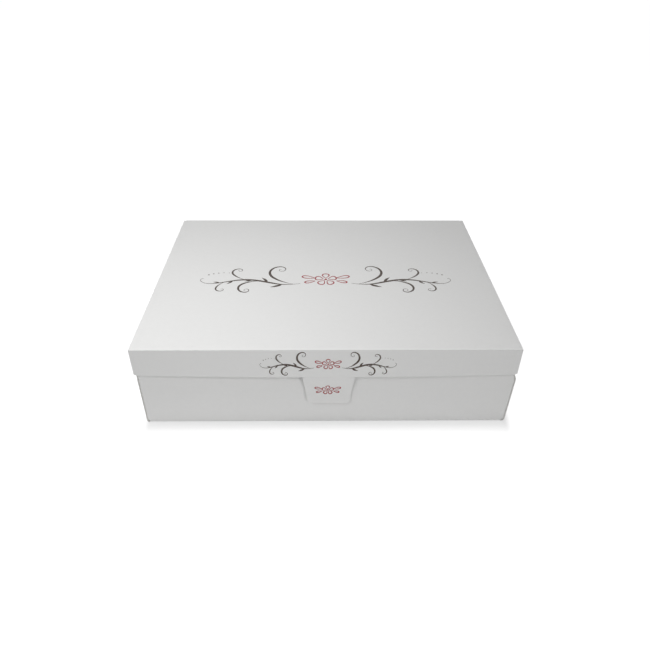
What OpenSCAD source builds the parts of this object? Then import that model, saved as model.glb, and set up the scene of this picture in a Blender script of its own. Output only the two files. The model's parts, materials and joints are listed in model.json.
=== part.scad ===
// Keepsake box in fluted board: a tray with rolled sides and a hinged lid.
// The lid's skirts drop over the outside of the tray, and a tab on the front
// skirt closes on a hook-and-loop dot. X is the width, the front faces -Y and
// +Z is up. The origin is at the bottom centre of the closed box.

/* [Box] */
// Outside width of the tray
tray_w = 611; // [400:1:800]
// Outside depth of the tray
tray_d = 461; // [380:1:600]
// Height of the closed box
box_h = 159; // [130:1:240]
// Thickness of the fluted board
board = 1.6; // [1.2:0.1:2.4]

/* [Tray folds] */
// Inside radius of the folds at the foot and corners of the front and back walls
wall_fold_r = 0.8; // [0.4:0.1:1.6]
// Inside radius of the wide folds at the foot of the rolled sides
side_fold_r = 2.4; // [1.4:0.1:4]
// Inside radius of the two folds along each rolled rim
rim_fold_r = 0.4; // [0.2:0.1:0.6]
// Play between the plies of a rolled side
ply_gap = 0.1; // [0.05:0.05:0.3]
// Length of the corner flaps inside the rolled sides
corner_flap_l = 110; // [60:1:160]
// Drop of a corner flap's upper edge over its length
corner_flap_taper = 10; // [0:1:25]

/* [Lock tongues] */
// Length of each tongue along the side
tongue_l = 50; // [30:1:60]
// Distance from the middle of the side to the centre of a tongue
tongue_y = 115; // [60:1:140]
// Play around a tongue in its slot
tongue_gap = 0.15; // [0.1:0.05:0.4]
// Height of a tongue's end above the underside of the base
tongue_recess = 0.2; // [0.1:0.1:0.6]

/* [Lid] */
// Height of the skirts, from the top of the lid
skirt_h = 51.5; // [38:0.5:60]
// How far the free edge of the front skirt bows out at its middle
skirt_bow = 5; // [0:0.5:8]
// Radius on the creased edges of the lid panel
lid_edge_r = 1.1; // [0.4:0.1:1.2]
// Play between each side skirt and the tray
side_gap = 0.9; // [0.4:0.1:2]
// Play between the glue flaps and the front of the tray
front_gap = 0.7; // [0.4:0.1:2]
// Play between the lid panel and the top of the tray
rim_gap = 0.3; // [0.2:0.1:1]
// Width of the cut at each lower corner of the front skirt
skirt_cut_w = 5; // [1:0.5:12]
// Height of the cut at each lower corner of the front skirt
skirt_cut_h = 2; // [0.5:0.5:5]
// Distance from the rear crease to the rear end of a side skirt
skirt_setback = 2; // [1.5:0.5:8]
// Cut at the lower rear corner of a side skirt
skirt_rear_cut = 6; // [2:1:15]
// Length of the flaps glued behind the front skirt
glue_flap_l = 60; // [40:1:90]
// Thickness of the glue between a glue flap and the front skirt
glue_line = 0.1; // [0.05:0.05:0.3]
// Step from the edges of a skirt to the edges of a glue flap
glue_flap_inset = 1.5; // [0.5:0.5:4]
// Slope of a glue flap's free end, across its height
glue_flap_slope = 8; // [0:1:20]

/* [Creases] */
// Thickness of the outer liner that is left whole in a crease
liner = 0.3; // [0.2:0.05:0.4]
// Radius of the rear crease's bead
rear_bead_r = 0.5; // [0.4:0.05:0.7]
// Radius of the tab crease's bead
tab_bead_r = 0.4; // [0.3:0.05:0.6]
// Play between a crease's bead and the board that turns about it
bead_gap = 0.2; // [0.15:0.05:0.5]

/* [Tab] */
// Place of the tab across the front
tab_x = 4; // [-60:1:60]
// Width of the tab at its crease
tab_top_w = 84; // [60:1:120]
// Width of the tab at its free edge
tab_end_w = 69; // [45:1:84]
// Length of the tab from its crease
tab_l = 58; // [45:1:64]
// Radius of the tab's free corners
tab_corner_r = 7; // [2:0.5:15]

/* [Hook and loop] */
// Diameter of the hook dot and the loop dot
dot_d = 16; // [10:1:22]
// Thickness of each dot
dot_t = 1.1; // [0.6:0.1:1.4]
// Distance from the tab's free edge to the centre of the hook dot
dot_end = 21; // [14:1:24]
// Play between the closed dots, at their lower edge
dot_gap = 0.1; // [0.05:0.05:0.5]

/* [Hidden] */
$fn = 64;
BOW_STEPS = 28;
DROP_STEPS = 4;
CORNER_STEPS = 8;
OVER = 1;
satin_white = "#f3f2f0";
bare_liner = "#e2dfd8";
nylon_white = "#f7f7f5";

// Widths and depths
lid_w = tray_w + 2 * (board + side_gap);
skirt_off = 2 * board + glue_line + front_gap;
box_d = tray_d + skirt_off + skirt_bow;
back_y = box_d / 2;
front_y = back_y - tray_d;
tray_mid_y = (front_y + back_y) / 2;
lid_y = front_y - skirt_off;

// Outside radii of the folds
wall_fold_out = wall_fold_r + board;
side_fold_out = side_fold_r + board;
rim_fold_out = rim_fold_r + board;

// Heights
wall_h = box_h - board - rim_gap;
lid_under = box_h - board;
skirt_z = box_h - skirt_h;

// The three plies of the right side, outside to inside, by their outer faces
outer_x = tray_w / 2;
flap_x = outer_x - board - ply_gap;
inner_x = flap_x - board - ply_gap;
side_t = outer_x - inner_x + board;
end_half = outer_x - max(side_fold_out, board + ply_gap + wall_fold_out) - ply_gap;
// The inner plies and the rims end short of the corner folds
tuck_in = wall_fold_out + ply_gap;
tuck_y = front_y + tuck_in;
tuck_l = tray_d - 2 * tuck_in;

// The inner ply stands on the base, or on the side fold where that rises under it
fold_reach = max(0, side_fold_out - (outer_x - inner_x));
foot_z = board + ply_gap + side_fold_r - sqrt(pow(side_fold_r, 2) - pow(fold_reach, 2));
flap_foot_z = side_fold_out + ply_gap;
flap_h = wall_h - board - rim_gap - flap_foot_z;

// The rear crease, about which the lid turns
rear_axis_y = back_y - rear_bead_r;
rear_axis_z = box_h - rear_bead_r;
lid_rear_y = rear_axis_y - rear_bead_r - bead_gap;

// The tab crease, under the free edge of the front skirt
tab_reach = abs(tab_x) + tab_top_w / 2;
tab_face_y = lid_y - bow_at(tab_reach, skirt_z);
tab_axis_y = tab_face_y + tab_bead_r;
tab_axis_z = skirt_z - tab_bead_r - bead_gap;
tab_start = tab_bead_r + 2 * bead_gap;
tab_inner = board - tab_bead_r;

// The tab leans in until its dot or its free edge meets the tray
dot_down = tab_l - dot_end;
dot_low = dot_down + dot_d / 2;
wall_off = front_y - tab_axis_y;
lean_on_dot = lean_for(dot_low, tab_inner + dot_t, wall_off - dot_t - dot_gap);
lean_on_edge = lean_for(tab_l, tab_inner, wall_off - front_gap);
tab_lean = min(lean_on_dot, lean_on_edge);
loop_z = tab_axis_z - dot_down * cos(tab_lean) + (tab_inner + dot_t) * sin(tab_lean);

// How far the front skirt stands out at x and z: nothing at its fold, most at its free edge
function bow_at(x, z) =
    skirt_bow * (1 - pow(2 * x / lid_w, 2)) * (lid_under - z) / (lid_under - skirt_z);

// The lean at which a point comes to y = reach, if it lies s down the tab and n inside its axis
function lean_for(s, n, reach) = asin(reach / norm([s, n])) - atan2(n, s);

// Points along an arc
function arc(centre, r, from, to, steps) =
    [for (i = [0 : steps]) let (a = from + (to - from) * i / steps) centre + r * [cos(a), sin(a)]];

// Even steps from a to b
function steps_of(a, b, n) = [for (i = [0 : n]) a + (b - a) * i / n];

// A quarter of a folded strip, from the -Y side of its centre to the +X side
module fold_profile(r_in) {
    intersection() {
        difference() {
            circle(r = r_in + board);
            circle(r = r_in);
        }
        translate([0, -r_in - board]) square([r_in + board, r_in + board]);
    }
}

// Draws its children, a profile in x and z, along Y
module along_y(y0, length) {
    translate([0, y0 + length, 0]) rotate([90, 0, 0]) linear_extrude(length) children();
}

// Draws its children, a profile in y and z, along X
module along_x(x0, length) {
    translate([x0, 0, 0]) rotate([90, 0, 90]) linear_extrude(length) children();
}

module mirror_x() mirror([1, 0, 0]) children();

// The back of the tray is the front, turned about the tray's middle
module mirror_tray_y() translate([0, 2 * tray_mid_y, 0]) mirror([0, 1, 0]) children();

// Cuts for the four tongues, through the base and the side folds
module tongue_slots() {
    for (side = [-1, 1], end = [-1, 1])
        translate([side * (inner_x - board / 2), tray_mid_y + end * tongue_y, foot_z / 2])
            cube([board + 2 * tongue_gap, tongue_l + 2 * tongue_gap, foot_z + 2 * OVER], center = true);
}

module base_panel() {
    color(bare_liner)
        difference() {
            translate([-outer_x + side_fold_out, front_y + wall_fold_out, 0])
                cube([tray_w - 2 * side_fold_out, tray_d - 2 * wall_fold_out, board]);
            tongue_slots();
        }
}

// A front or back wall with the fold at its foot
module end_wall() {
    color(satin_white)
        along_x(-end_half, 2 * end_half) {
            translate([front_y + wall_fold_out, wall_fold_out]) mirror([1, 0]) fold_profile(wall_fold_r);
            translate([front_y, wall_fold_out]) square([board, wall_h - wall_fold_out]);
        }
}

module front_wall() end_wall();

module back_wall() mirror_tray_y() end_wall();

module right_wall_outer() {
    color(satin_white)
        difference() {
            along_y(front_y, tray_d) {
                translate([outer_x - side_fold_out, side_fold_out]) fold_profile(side_fold_r);
                translate([outer_x - board, side_fold_out])
                    square([board, wall_h - rim_fold_out - side_fold_out]);
            }
            tongue_slots();
        }
}

module left_wall_outer() mirror_x() right_wall_outer();

module right_rim() {
    color(satin_white)
        along_y(tuck_y, tuck_l)
            translate([0, wall_h - rim_fold_out]) {
                translate([outer_x - rim_fold_out, 0]) mirror([0, 1]) fold_profile(rim_fold_r);
                translate([outer_x - side_t + rim_fold_out, 0]) rotate(180) fold_profile(rim_fold_r);
                translate([outer_x - side_t + rim_fold_out, rim_fold_r])
                    square([side_t - 2 * rim_fold_out, board]);
            }
}

module left_rim() mirror_x() right_rim();

module right_wall_inner() {
    color(satin_white) {
        translate([inner_x - board, tuck_y, foot_z])
            cube([board, tuck_l, wall_h - rim_fold_out - foot_z]);
        for (end = [-1, 1])
            translate([inner_x - board, tray_mid_y + end * tongue_y - tongue_l / 2, tongue_recess])
                cube([board, tongue_l, foot_z - tongue_recess]);
    }
}

module left_wall_inner() mirror_x() right_wall_inner();

// A corner flap: it goes on from the front wall, turns the corner and runs back inside the side
module front_right_flap() {
    flap_y = front_y + wall_fold_out;
    turn_x = flap_x - wall_fold_out;
    color(satin_white) {
        translate([0, 0, flap_foot_z])
            linear_extrude(flap_h) {
                translate([end_half, front_y]) square([turn_x - end_half, board]);
                translate([turn_x, flap_y]) fold_profile(wall_fold_r);
            }
        along_x(flap_x - board, board)
            polygon([
                [flap_y, flap_foot_z],
                [flap_y + corner_flap_l, flap_foot_z],
                [flap_y + corner_flap_l, flap_foot_z + flap_h - corner_flap_taper],
                [flap_y, flap_foot_z + flap_h]
            ]);
    }
}

module front_left_flap() mirror_x() front_right_flap();

module back_right_flap() mirror_tray_y() front_right_flap();

module back_left_flap() mirror_x() back_right_flap();

module rear_crease() {
    color(satin_white) {
        translate([-end_half, rear_axis_y, rear_axis_z])
            rotate([0, 90, 0]) cylinder(r = rear_bead_r, h = 2 * end_half);
        translate([-end_half, back_y - liner, wall_h])
            cube([2 * end_half, liner, rear_axis_z - wall_h]);
    }
}

// The loop half of the closure, on the tray's front wall
module loop_dot() {
    color(nylon_white)
        translate([tab_x, front_y, loop_z]) rotate([90, 0, 0]) cylinder(d = dot_d, h = dot_t);
}

// The lid panel, with its two side edges and its front edge creased round
module lid_panel() {
    side_x = lid_w / 2 - lid_edge_r;
    edge_z = box_h - lid_edge_r;
    color(satin_white)
        intersection() {
            along_y(lid_y, lid_rear_y - lid_y)
                polygon(concat(
                    [[-lid_w / 2, lid_under], [lid_w / 2, lid_under]],
                    arc([side_x, edge_z], lid_edge_r, 0, 90, CORNER_STEPS),
                    arc([-side_x, edge_z], lid_edge_r, 90, 180, CORNER_STEPS)
                ));
            along_x(-lid_w / 2, lid_w)
                polygon(concat(
                    [[lid_y, lid_under], [lid_rear_y, lid_under], [lid_rear_y, box_h]],
                    arc([lid_y + lid_edge_r, edge_z], lid_edge_r, 90, 180, CORNER_STEPS)
                ));
        }
}

// A sheet that follows the front skirt's bow, a given depth behind its outer face. Each of its
// stations across the front is [x, lowest z, highest z].
module bowed_sheet(stations, depth) {
    rows = DROP_STEPS + 1;
    cols = len(stations);
    face_n = rows * cols;
    points = [
        for (back = [0, 1], st = stations, z = steps_of(st[1], st[2], DROP_STEPS))
            [st[0], lid_y - bow_at(st[0], z) + depth + back * board, z]
    ];
    front = [
        for (c = [0 : cols - 2], r = [0 : rows - 2])
            let (a = c * rows + r)
            each [[a, a + 1, a + rows + 1], [a, a + rows + 1, a + rows]]
    ];
    rear = [for (f = front) [f[0] + face_n, f[2] + face_n, f[1] + face_n]];
    rim = concat(
        [for (c = [0 : cols - 1]) c * rows],
        [for (r = [1 : rows - 1]) (cols - 1) * rows + r],
        [for (c = [cols - 2 : -1 : 0]) c * rows + rows - 1],
        [for (r = [rows - 2 : -1 : 1]) r]
    );
    edges = [
        for (i = [0 : len(rim) - 1])
            let (a = rim[i], b = rim[(i + 1) % len(rim)])
            each [[a, b, b + face_n], [a, b + face_n, a + face_n]]
    ];
    polyhedron(points = points, faces = concat(front, rear, edges));
}

module lid_front_skirt() {
    inside = lid_w / 2 - skirt_cut_w;
    stations = concat(
        [[-lid_w / 2, skirt_z + skirt_cut_h, lid_under]],
        [for (x = steps_of(-inside, inside, BOW_STEPS)) [x, skirt_z, lid_under]],
        [[lid_w / 2, skirt_z + skirt_cut_h, lid_under]]
    );
    color(satin_white) bowed_sheet(stations, 0);
}

module lid_right_skirt() {
    skirt_front = lid_y + board;
    skirt_rear = rear_axis_y - skirt_setback;
    color(satin_white)
        along_x(lid_w / 2 - board, board)
            polygon([
                [skirt_front, skirt_z],
                [skirt_rear - skirt_rear_cut, skirt_z],
                [skirt_rear, skirt_z + skirt_rear_cut],
                [skirt_rear, lid_under],
                [skirt_front, lid_under]
            ]);
}

module lid_left_skirt() mirror_x() lid_right_skirt();

// The end of a side skirt, turned in and glued behind the front skirt
module lid_right_glue_flap() {
    x_out = lid_w / 2 - board;
    z_low = skirt_z + max(glue_flap_inset, skirt_cut_h);
    z_high = lid_under - glue_flap_inset;
    stations = [
        for (x = steps_of(x_out - glue_flap_l, x_out, DROP_STEPS))
            let (run = (x_out - x) / glue_flap_l)
            [x, z_low + glue_flap_slope * run, z_high - glue_flap_slope * run]
    ];
    color(bare_liner) bowed_sheet(stations, board + glue_line);
}

module lid_left_glue_flap() mirror_x() lid_right_glue_flap();

module tab_crease() {
    color(satin_white) {
        translate([tab_x - tab_top_w / 2, tab_axis_y, tab_axis_z])
            rotate([0, 90, 0]) cylinder(r = tab_bead_r, h = tab_top_w);
        translate([tab_x - tab_top_w / 2, tab_face_y, tab_axis_z])
            cube([tab_top_w, liner, skirt_z - tab_axis_z]);
    }
}

// Draws its children as they hang from the tab's crease, with Y = 0 on the tab's inner face
module on_tab() {
    translate([tab_x, tab_axis_y, tab_axis_z])
        rotate([tab_lean, 0, 0]) translate([0, tab_inner, 0]) children();
}

module closure_tab() {
    taper = atan2((tab_top_w - tab_end_w) / 2, tab_l - tab_start);
    corner = [tab_end_w / 2 - tab_corner_r / tan(45 + taper / 2), -tab_l + tab_corner_r];
    right_side = concat(
        arc(corner, tab_corner_r, -90, -taper, CORNER_STEPS),
        [[tab_top_w / 2, -tab_start]]
    );
    left_side = [for (i = [len(right_side) - 1 : -1 : 0]) [-right_side[i][0], right_side[i][1]]];
    color(satin_white)
        on_tab() rotate([90, 0, 0]) linear_extrude(board) polygon(concat(right_side, left_side));
}

// The hook half of the closure, on the tab's inner face
module hook_dot() {
    color(nylon_white)
        on_tab() translate([0, 0, -dot_down]) rotate([-90, 0, 0]) cylinder(d = dot_d, h = dot_t);
}

base_panel();
front_wall();
back_wall();
left_wall_outer();
right_wall_outer();
left_wall_inner();
right_wall_inner();
left_rim();
right_rim();
front_left_flap();
front_right_flap();
back_left_flap();
back_right_flap();
rear_crease();
loop_dot();
lid_panel();
lid_front_skirt();
lid_left_skirt();
lid_right_skirt();
lid_left_glue_flap();
lid_right_glue_flap();
tab_crease();
closure_tab();
hook_dot();
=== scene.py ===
"""A card box in satin-coated fluted board: a folded tray, a hinged lid and a closure tab.

Every sheet is modelled as board, two liners with the flutes between them showing at each cut
edge. Shapes are worked out in millimetres, in the frame's axes, and become metres as each mesh
is made: X is the width, the front faces -Y and +Z is up.
"""

import json
import math
import random

import bmesh
import bpy
from bpy.props import FloatProperty, FloatVectorProperty, PointerProperty
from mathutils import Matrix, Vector


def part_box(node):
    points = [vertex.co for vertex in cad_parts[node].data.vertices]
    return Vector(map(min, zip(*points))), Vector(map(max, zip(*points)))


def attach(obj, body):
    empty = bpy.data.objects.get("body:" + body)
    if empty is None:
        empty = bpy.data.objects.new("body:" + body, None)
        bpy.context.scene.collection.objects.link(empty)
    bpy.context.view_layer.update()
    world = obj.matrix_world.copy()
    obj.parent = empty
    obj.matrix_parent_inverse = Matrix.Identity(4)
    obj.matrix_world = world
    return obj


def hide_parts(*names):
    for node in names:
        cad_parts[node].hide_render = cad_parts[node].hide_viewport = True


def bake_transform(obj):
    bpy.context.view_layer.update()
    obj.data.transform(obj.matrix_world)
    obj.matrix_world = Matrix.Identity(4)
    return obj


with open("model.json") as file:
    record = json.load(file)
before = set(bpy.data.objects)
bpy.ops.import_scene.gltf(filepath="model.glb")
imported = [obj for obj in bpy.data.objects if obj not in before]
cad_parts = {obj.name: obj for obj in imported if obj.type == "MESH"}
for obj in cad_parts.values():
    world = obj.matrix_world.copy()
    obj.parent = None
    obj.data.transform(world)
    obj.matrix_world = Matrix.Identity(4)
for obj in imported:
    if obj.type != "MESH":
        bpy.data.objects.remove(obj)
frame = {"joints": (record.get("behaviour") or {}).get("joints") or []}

bl_info = {
    "name": "Satin Card Box",
    "version": (1, 0, 0),
    "blender": (4, 5, 0),
    "location": "3D View > Sidebar > Card Box",
    "description": "Builds a folding card box in satin fluted board on its packed frame",
    "category": "Add Mesh",
}

MM = 0.001


def low(node):
    """The lowest corner of a CAD node, in millimetres."""
    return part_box(node)[0] / MM


def high(node):
    """The highest corner of a CAD node, in millimetres."""
    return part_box(node)[1] / MM


def axis_of(joint):
    """A point on a joint's axis, in millimetres."""
    return next(Vector(j["pos_m"]) / MM for j in frame["joints"] if j["name"] == joint)


# Sizes that come from the frame, in millimetres
BOARD = high("base_panel").z - low("base_panel").z
FRONT_Y = low("front_wall").y
BACK_Y = high("back_wall").y
MID_Y = (FRONT_Y + BACK_Y) / 2
WALL_HALF = high("front_wall").x
WALL_FOLD = high("front_wall").y - FRONT_Y
WALL_TOP = high("front_wall").z
SIDE_X = high("right_wall_outer").x
SIDE_FOLD = SIDE_X - low("right_wall_outer").x
SIDE_TOP = high("right_wall_outer").z
SIDE_THICK = SIDE_X - low("right_rim").x
RIM_FOLD = high("right_rim").z - low("right_rim").z
TUCK_Y = low("right_rim").y
INNER_X = high("right_wall_inner").x
TONGUE_TIP = low("right_wall_inner").z
FLAP_LOW, FLAP_HIGH = low("front_right_flap"), high("front_right_flap")
LID_LOW, LID_HIGH = low("lid_panel"), high("lid_panel")
SKIRT_LOW = low("lid_front_skirt")
SKIRT_BOW = LID_LOW.y - SKIRT_LOW.y
SIDE_SKIRT_LOW, SIDE_SKIRT_HIGH = low("lid_right_skirt"), high("lid_right_skirt")
GLUE_LOW, GLUE_HIGH = low("lid_right_glue_flap"), high("lid_right_glue_flap")
REAR_AXIS = axis_of("lid_hinge")
TAB_AXIS = axis_of("tab_hinge")
TAB_HALF = (high("tab_crease").x - low("tab_crease").x) / 2
TAB_BEAD_R = TAB_AXIS.y - low("tab_crease").y
LOOP_LOW, LOOP_HIGH = low("loop_dot"), high("loop_dot")
DOT_R = (LOOP_HIGH.x - LOOP_LOW.x) / 2
DOT_Z = (LOOP_HIGH.z + LOOP_LOW.z) / 2

# Sizes that the frame's boxes don't give, in millimetres
TONGUE_Y = 115.0  # from the middle of a side to the middle of a tongue
TONGUE_HALF = 25.0
TONGUE_GAP = 0.15
INNER_FOOT = 1.78  # where the inner ply of a side stands
FLAP_TAPER = 10.0
SKIRT_CUT = (5.0, 2.0)  # the cut at each lower corner of the front skirt
SIDE_SKIRT_CUT = 6.0
GLUE_SLOPE = 8.0
TAB_START = 0.8  # from the tab's axis to the first edge of its board
TAB_LENGTH = 58.0
TAB_TAPER = 7.5  # how much narrower each side of the tab is at its free edge
TAB_CORNER = 7.0
TAB_EASE = (20.0, 36.0)  # the tab leans in evenly down to here, and stands upright there
DOT_DOWN = 37.0  # from the tab's axis to the middle of its hook dot
DOTS_CLOSED = 2.6  # thickness of the two dots, pressed together

# How a cut edge shows, in millimetres
OPEN_EDGE = 0.2  # how far the eye sees in between the liners where the flutes end
SIDE_EDGE = 0.15  # and where the edge runs along a flute
MEDIUM = 0.18  # thickness of the fluted paper, drawn a little heavy so that it shows
FLUTE_START = 0.12  # how far in from a cut edge the flutes begin
FLUTE_CLEAR = 0.02  # what stays free between their crests and the liners
FLUTE_MARGIN = 0.4  # what stays free of them at each end of a cut edge
FLUTE_STEPS = 10  # straight pieces in one flute
BOARD_MAP = "board_mm"  # the UV map, in millimetres across and along the flutes
SHARP = math.radians(40)  # edges that turn by more than this are drawn sharp

# How the sides of the tray swell out under the skirt, in millimetres
SWELL_FADE = 190.0  # how far back from the front it fades
SWELL_FADED = 0.9  # the share that has gone there
SWELL_LOW = 0.4  # the share that is left at the foot
SWELL_FOOT = 5.0  # the height over which it starts
SWELL_SHOULDER = 15.0  # and over which it ends under the skirt
SWELL_PULL = 90.0  # how far in from a side it draws the end walls along
SWELL_FULL = 75.0  # and over what distance that comes in
SWELL_LEFT = 0.12  # the left side's swelling, as a share of the right side's

# Piece names with the way that each one faces from the middle
SIDES = (("left", -1), ("right", 1))
ENDS = (("front", 1), ("back", -1))


# ---------------------------------------------------------------- settings


def linear(code):
    """The linear colour of an sRGB hex code."""
    channels = [int(code[n:n + 2], 16) / 255 for n in (1, 3, 5)]
    return [c / 12.92 if c <= 0.04045 else ((c + 0.055) / 1.055) ** 2.4 for c in channels]


def colour(name, code, description):
    """A colour setting with its default as an sRGB hex code."""
    return FloatVectorProperty(
        name=name, description=description, default=linear(code), subtype="COLOR",
        size=3, min=0.0, max=1.0,
    )


def length(name, default_mm, description):
    """A length setting with its default in millimetres."""
    return FloatProperty(
        name=name, description=description, default=default_mm * MM, unit="LENGTH",
        min=0.0, precision=5,
    )


def power(name, default, description):
    """A lamp's power in watts."""
    return FloatProperty(
        name=name, description=description, default=default, unit="POWER", min=0.0
    )


def level(name, default, description):
    """A level from 0, dark, to 1, white."""
    return FloatProperty(name=name, description=description, default=default, min=0.0, max=1.0)


class CardBoxBoard(bpy.types.PropertyGroup):
    """Sizes of the board and of the way it bends"""

    pitch: length("Flute Pitch", 3.3, "Distance from one flute to the next")
    liner: length("Liner", 0.3, "Thickness of each liner")
    lid_fold: length("Lid Fold", 1.1, "Outside radius of the lid panel's creased edges")
    bulge: length("Side Bulge", 5.0, "How far the right side of the tray swells out")
    waviness: length("Lid Waviness", 0.22, "How far the lid panel rises and dips")


class CardBoxPrint(bpy.types.PropertyGroup):
    """Sizes of the stamped and printed ornament"""

    lid_width: length("Lid Scroll", 446.0, "Width of the scroll on the lid")
    skirt_width: length("Skirt Scroll", 208.0, "Width of the scroll on the front skirt")
    tab_width: length("Tab Blossom", 43.0, "Width of the blossom on the tab")


class CardBoxColours(bpy.types.PropertyGroup):
    """Colours of the board, the ornament and the closure"""

    satin: colour("Satin White", "#f3f3f2", "The coated outer liner")
    bare: colour("Bare Liner", "#edece8", "The uncoated inner liner")
    medium: colour("Flutes", "#f0f0ee", "The fluted paper between the liners")
    foil: colour("Dark Foil", "#4a3f38", "The stamped scrolls")
    red: colour("Red Foil", "#9c1420", "The stamped blossoms")
    grey: colour("Grey Ink", "#a29e9a", "The printed dots")
    nylon: colour("Nylon", "#f4f4f1", "The hook and loop closure")


class CardBoxStudio(bpy.types.PropertyGroup):
    """Levels of the lamps, the surroundings and the floor"""

    key: power("Key", 6.5, "The soft lamp above")
    front: power("Front", 3.05, "The lamp high in front, on the left")
    side: power("Side", 8.0, "The small lamp on the right")
    sky: level("Surroundings", 0.15, "The light from all round")
    # painted shadow: how far the floor's glow dims close to the box
    painted_contact_shade: level("Floor Shadow", 0.59, "How bright the floor shows close to the box")


SETTINGS = {
    "card_box_board": CardBoxBoard,
    "card_box_print": CardBoxPrint,
    "card_box_colours": CardBoxColours,
    "card_box_studio": CardBoxStudio,
}


# --------------------------------------------------------------- materials

MIX_A, MIX_B, MIX_RESULT = 6, 7, 2  # the numbers of a Mix node's colour sockets


def add_node(tree, kind, inputs=(), **settings):
    """Adds a node, sets it up, and gives its inputs their values or links.

    A node among the inputs stands for its first output.
    """
    node = tree.nodes.new(kind)
    for name, value in settings.items():
        setattr(node, name, value)
    for socket, value in dict(inputs).items():
        if isinstance(value, bpy.types.Node):
            value = value.outputs[0]
        if isinstance(value, bpy.types.NodeSocket):
            tree.links.new(value, node.inputs[socket])
        else:
            node.inputs[socket].default_value = value
    return node


def opaque(rgb, share=1.0):
    """A colour setting as a shader takes it, scaled by share."""
    return [c * share for c in rgb] + [1.0]


def per_mm(size):
    """The scale that gives a texture features of that size in millimetres."""
    return 1.0 / (size * MM)


def mottle(tree, size, least=0.0, most=1.0, detail=3.0):
    """Soft blotches, as paper and coatings dry with, size across in millimetres."""
    place = add_node(tree, "ShaderNodeTexCoord")
    noise = add_node(
        tree, "ShaderNodeTexNoise",
        {"Vector": place.outputs["Object"], "Scale": per_mm(size), "Detail": detail},
    )
    return add_node(
        tree, "ShaderNodeMapRange",
        {"Value": noise, "From Min": 0.3, "From Max": 0.7, "To Min": least, "To Max": most},
    )


def blotched(tree, rgb, least, most, size, detail=3.0):
    """A colour that varies from least to most of itself in blotches size millimetres across."""
    mix = add_node(
        tree, "ShaderNodeMix",
        {"Factor": mottle(tree, size, detail=detail), MIX_A: opaque(rgb, least),
         MIX_B: opaque(rgb, most)},
        data_type="RGBA",
    )
    return mix.outputs[MIX_RESULT]


def fibres(tree, size, depth, under=None):
    """The relief of matted fibres, size across and depth high in millimetres."""
    place = add_node(tree, "ShaderNodeTexCoord")
    noise = add_node(
        tree, "ShaderNodeTexNoise",
        {"Vector": place.outputs["Object"], "Scale": per_mm(size), "Detail": 3.0,
         "Roughness": 0.65},
    )
    relief = {"Height": noise, "Distance": depth * MM, "Strength": 1.0}
    if under is not None:
        relief["Normal"] = under
    return add_node(tree, "ShaderNodeBump", relief)


def washboard(tree, pitch, depth):
    """The faint ripple that the flutes print through to a liner, depth high in millimetres."""
    flat = add_node(tree, "ShaderNodeUVMap", uv_map=BOARD_MAP)
    across = add_node(tree, "ShaderNodeSeparateXYZ", {"Vector": flat})
    turns = add_node(
        tree, "ShaderNodeMath", {0: across.outputs["X"], 1: math.tau / (pitch / MM)},
        operation="MULTIPLY",
    )
    wave = add_node(tree, "ShaderNodeMath", {0: turns}, operation="SINE")
    half = add_node(
        tree, "ShaderNodeMath", {0: wave, 1: 0.5, 2: 0.5}, operation="MULTIPLY_ADD"
    )
    return add_node(
        tree, "ShaderNodeBump", {"Height": half, "Distance": depth * MM, "Strength": 1.0}
    )


def satin_coated_liner(tree, settings):
    """White-top kraft liner, clay coated, printed white and varnished with a satin coating.

    The eye gets a smooth, even white with a broad soft sheen. The paper's cloudy formation,
    about 7 mm across, shows faintly in it, and the flutes print through as a slight ripple.
    """
    ripple = washboard(tree, settings["board"].pitch, 0.007)
    return add_node(tree, "ShaderNodeBsdfPrincipled", {
        "Base Color": blotched(tree, settings["colours"].satin, 0.985, 1.0, 7.0),
        "Roughness": mottle(tree, 14.0, 0.6, 0.67),
        "IOR": 1.5,
        "Normal": fibres(tree, 0.9, 0.006, ripple),  # real fibres, 0.05 mm, wouldn't show
        "Coat Weight": 0.05,
        "Coat Roughness": 0.5,
    })


def bare_white_liner(tree, settings):
    """Bleached white-top kraft liner, machine finished and left uncoated.

    It is matt and a little warmer than the coated side, with grey-brown fibre flecks and the
    flutes showing more plainly.
    """
    bare = settings["colours"].bare
    paper = blotched(tree, bare, 0.955, 1.0, 5.0, 4.0)
    place = add_node(tree, "ShaderNodeTexCoord")
    cells = add_node(
        tree, "ShaderNodeTexVoronoi",
        {"Vector": place.outputs["Object"], "Scale": per_mm(4.0)},
    )
    fleck = add_node(
        tree, "ShaderNodeMapRange",  # real flecks are 0.5 mm long, too small to show
        {"Value": cells.outputs["Distance"], "From Min": 0.05, "From Max": 0.11,
         "To Min": 1.0, "To Max": 0.0},
    )
    flecked = add_node(
        tree, "ShaderNodeMix",
        {"Factor": fleck, MIX_A: paper, MIX_B: opaque(bare, 0.82)}, data_type="RGBA",
    )
    ripple = washboard(tree, settings["board"].pitch, 0.02)
    return add_node(tree, "ShaderNodeBsdfPrincipled", {
        "Base Color": flecked.outputs[MIX_RESULT],
        "Roughness": 0.88,
        "Normal": fibres(tree, 0.7, 0.02, ripple),
    })


def fluting_medium(tree, settings):
    """Bleached fluting paper, pressed into waves on hot rolls.

    It is rough and quite matt, and makes a cut edge read as a slightly darker line.
    """
    return add_node(tree, "ShaderNodeBsdfPrincipled", {
        "Base Color": blotched(tree, settings["colours"].medium, 0.88, 1.0, 0.8, 4.0),
        "Roughness": 0.94,
        "Normal": fibres(tree, 0.5, 0.03),
    })


def stamped_foil(tree, rgb, most, roughness, gleam):
    """Foil stamped in hot, a little uneven where the die pressed lighter.

    gleam holds the inputs that set one foil apart from the other.
    """
    return add_node(tree, "ShaderNodeBsdfPrincipled", {
        "Base Color": blotched(tree, rgb, 0.86, most, 3.0),
        "Roughness": mottle(tree, 1.2, *roughness, 2.0),
        "Normal": fibres(tree, 0.8, 0.01),
        **gleam,
    })


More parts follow.
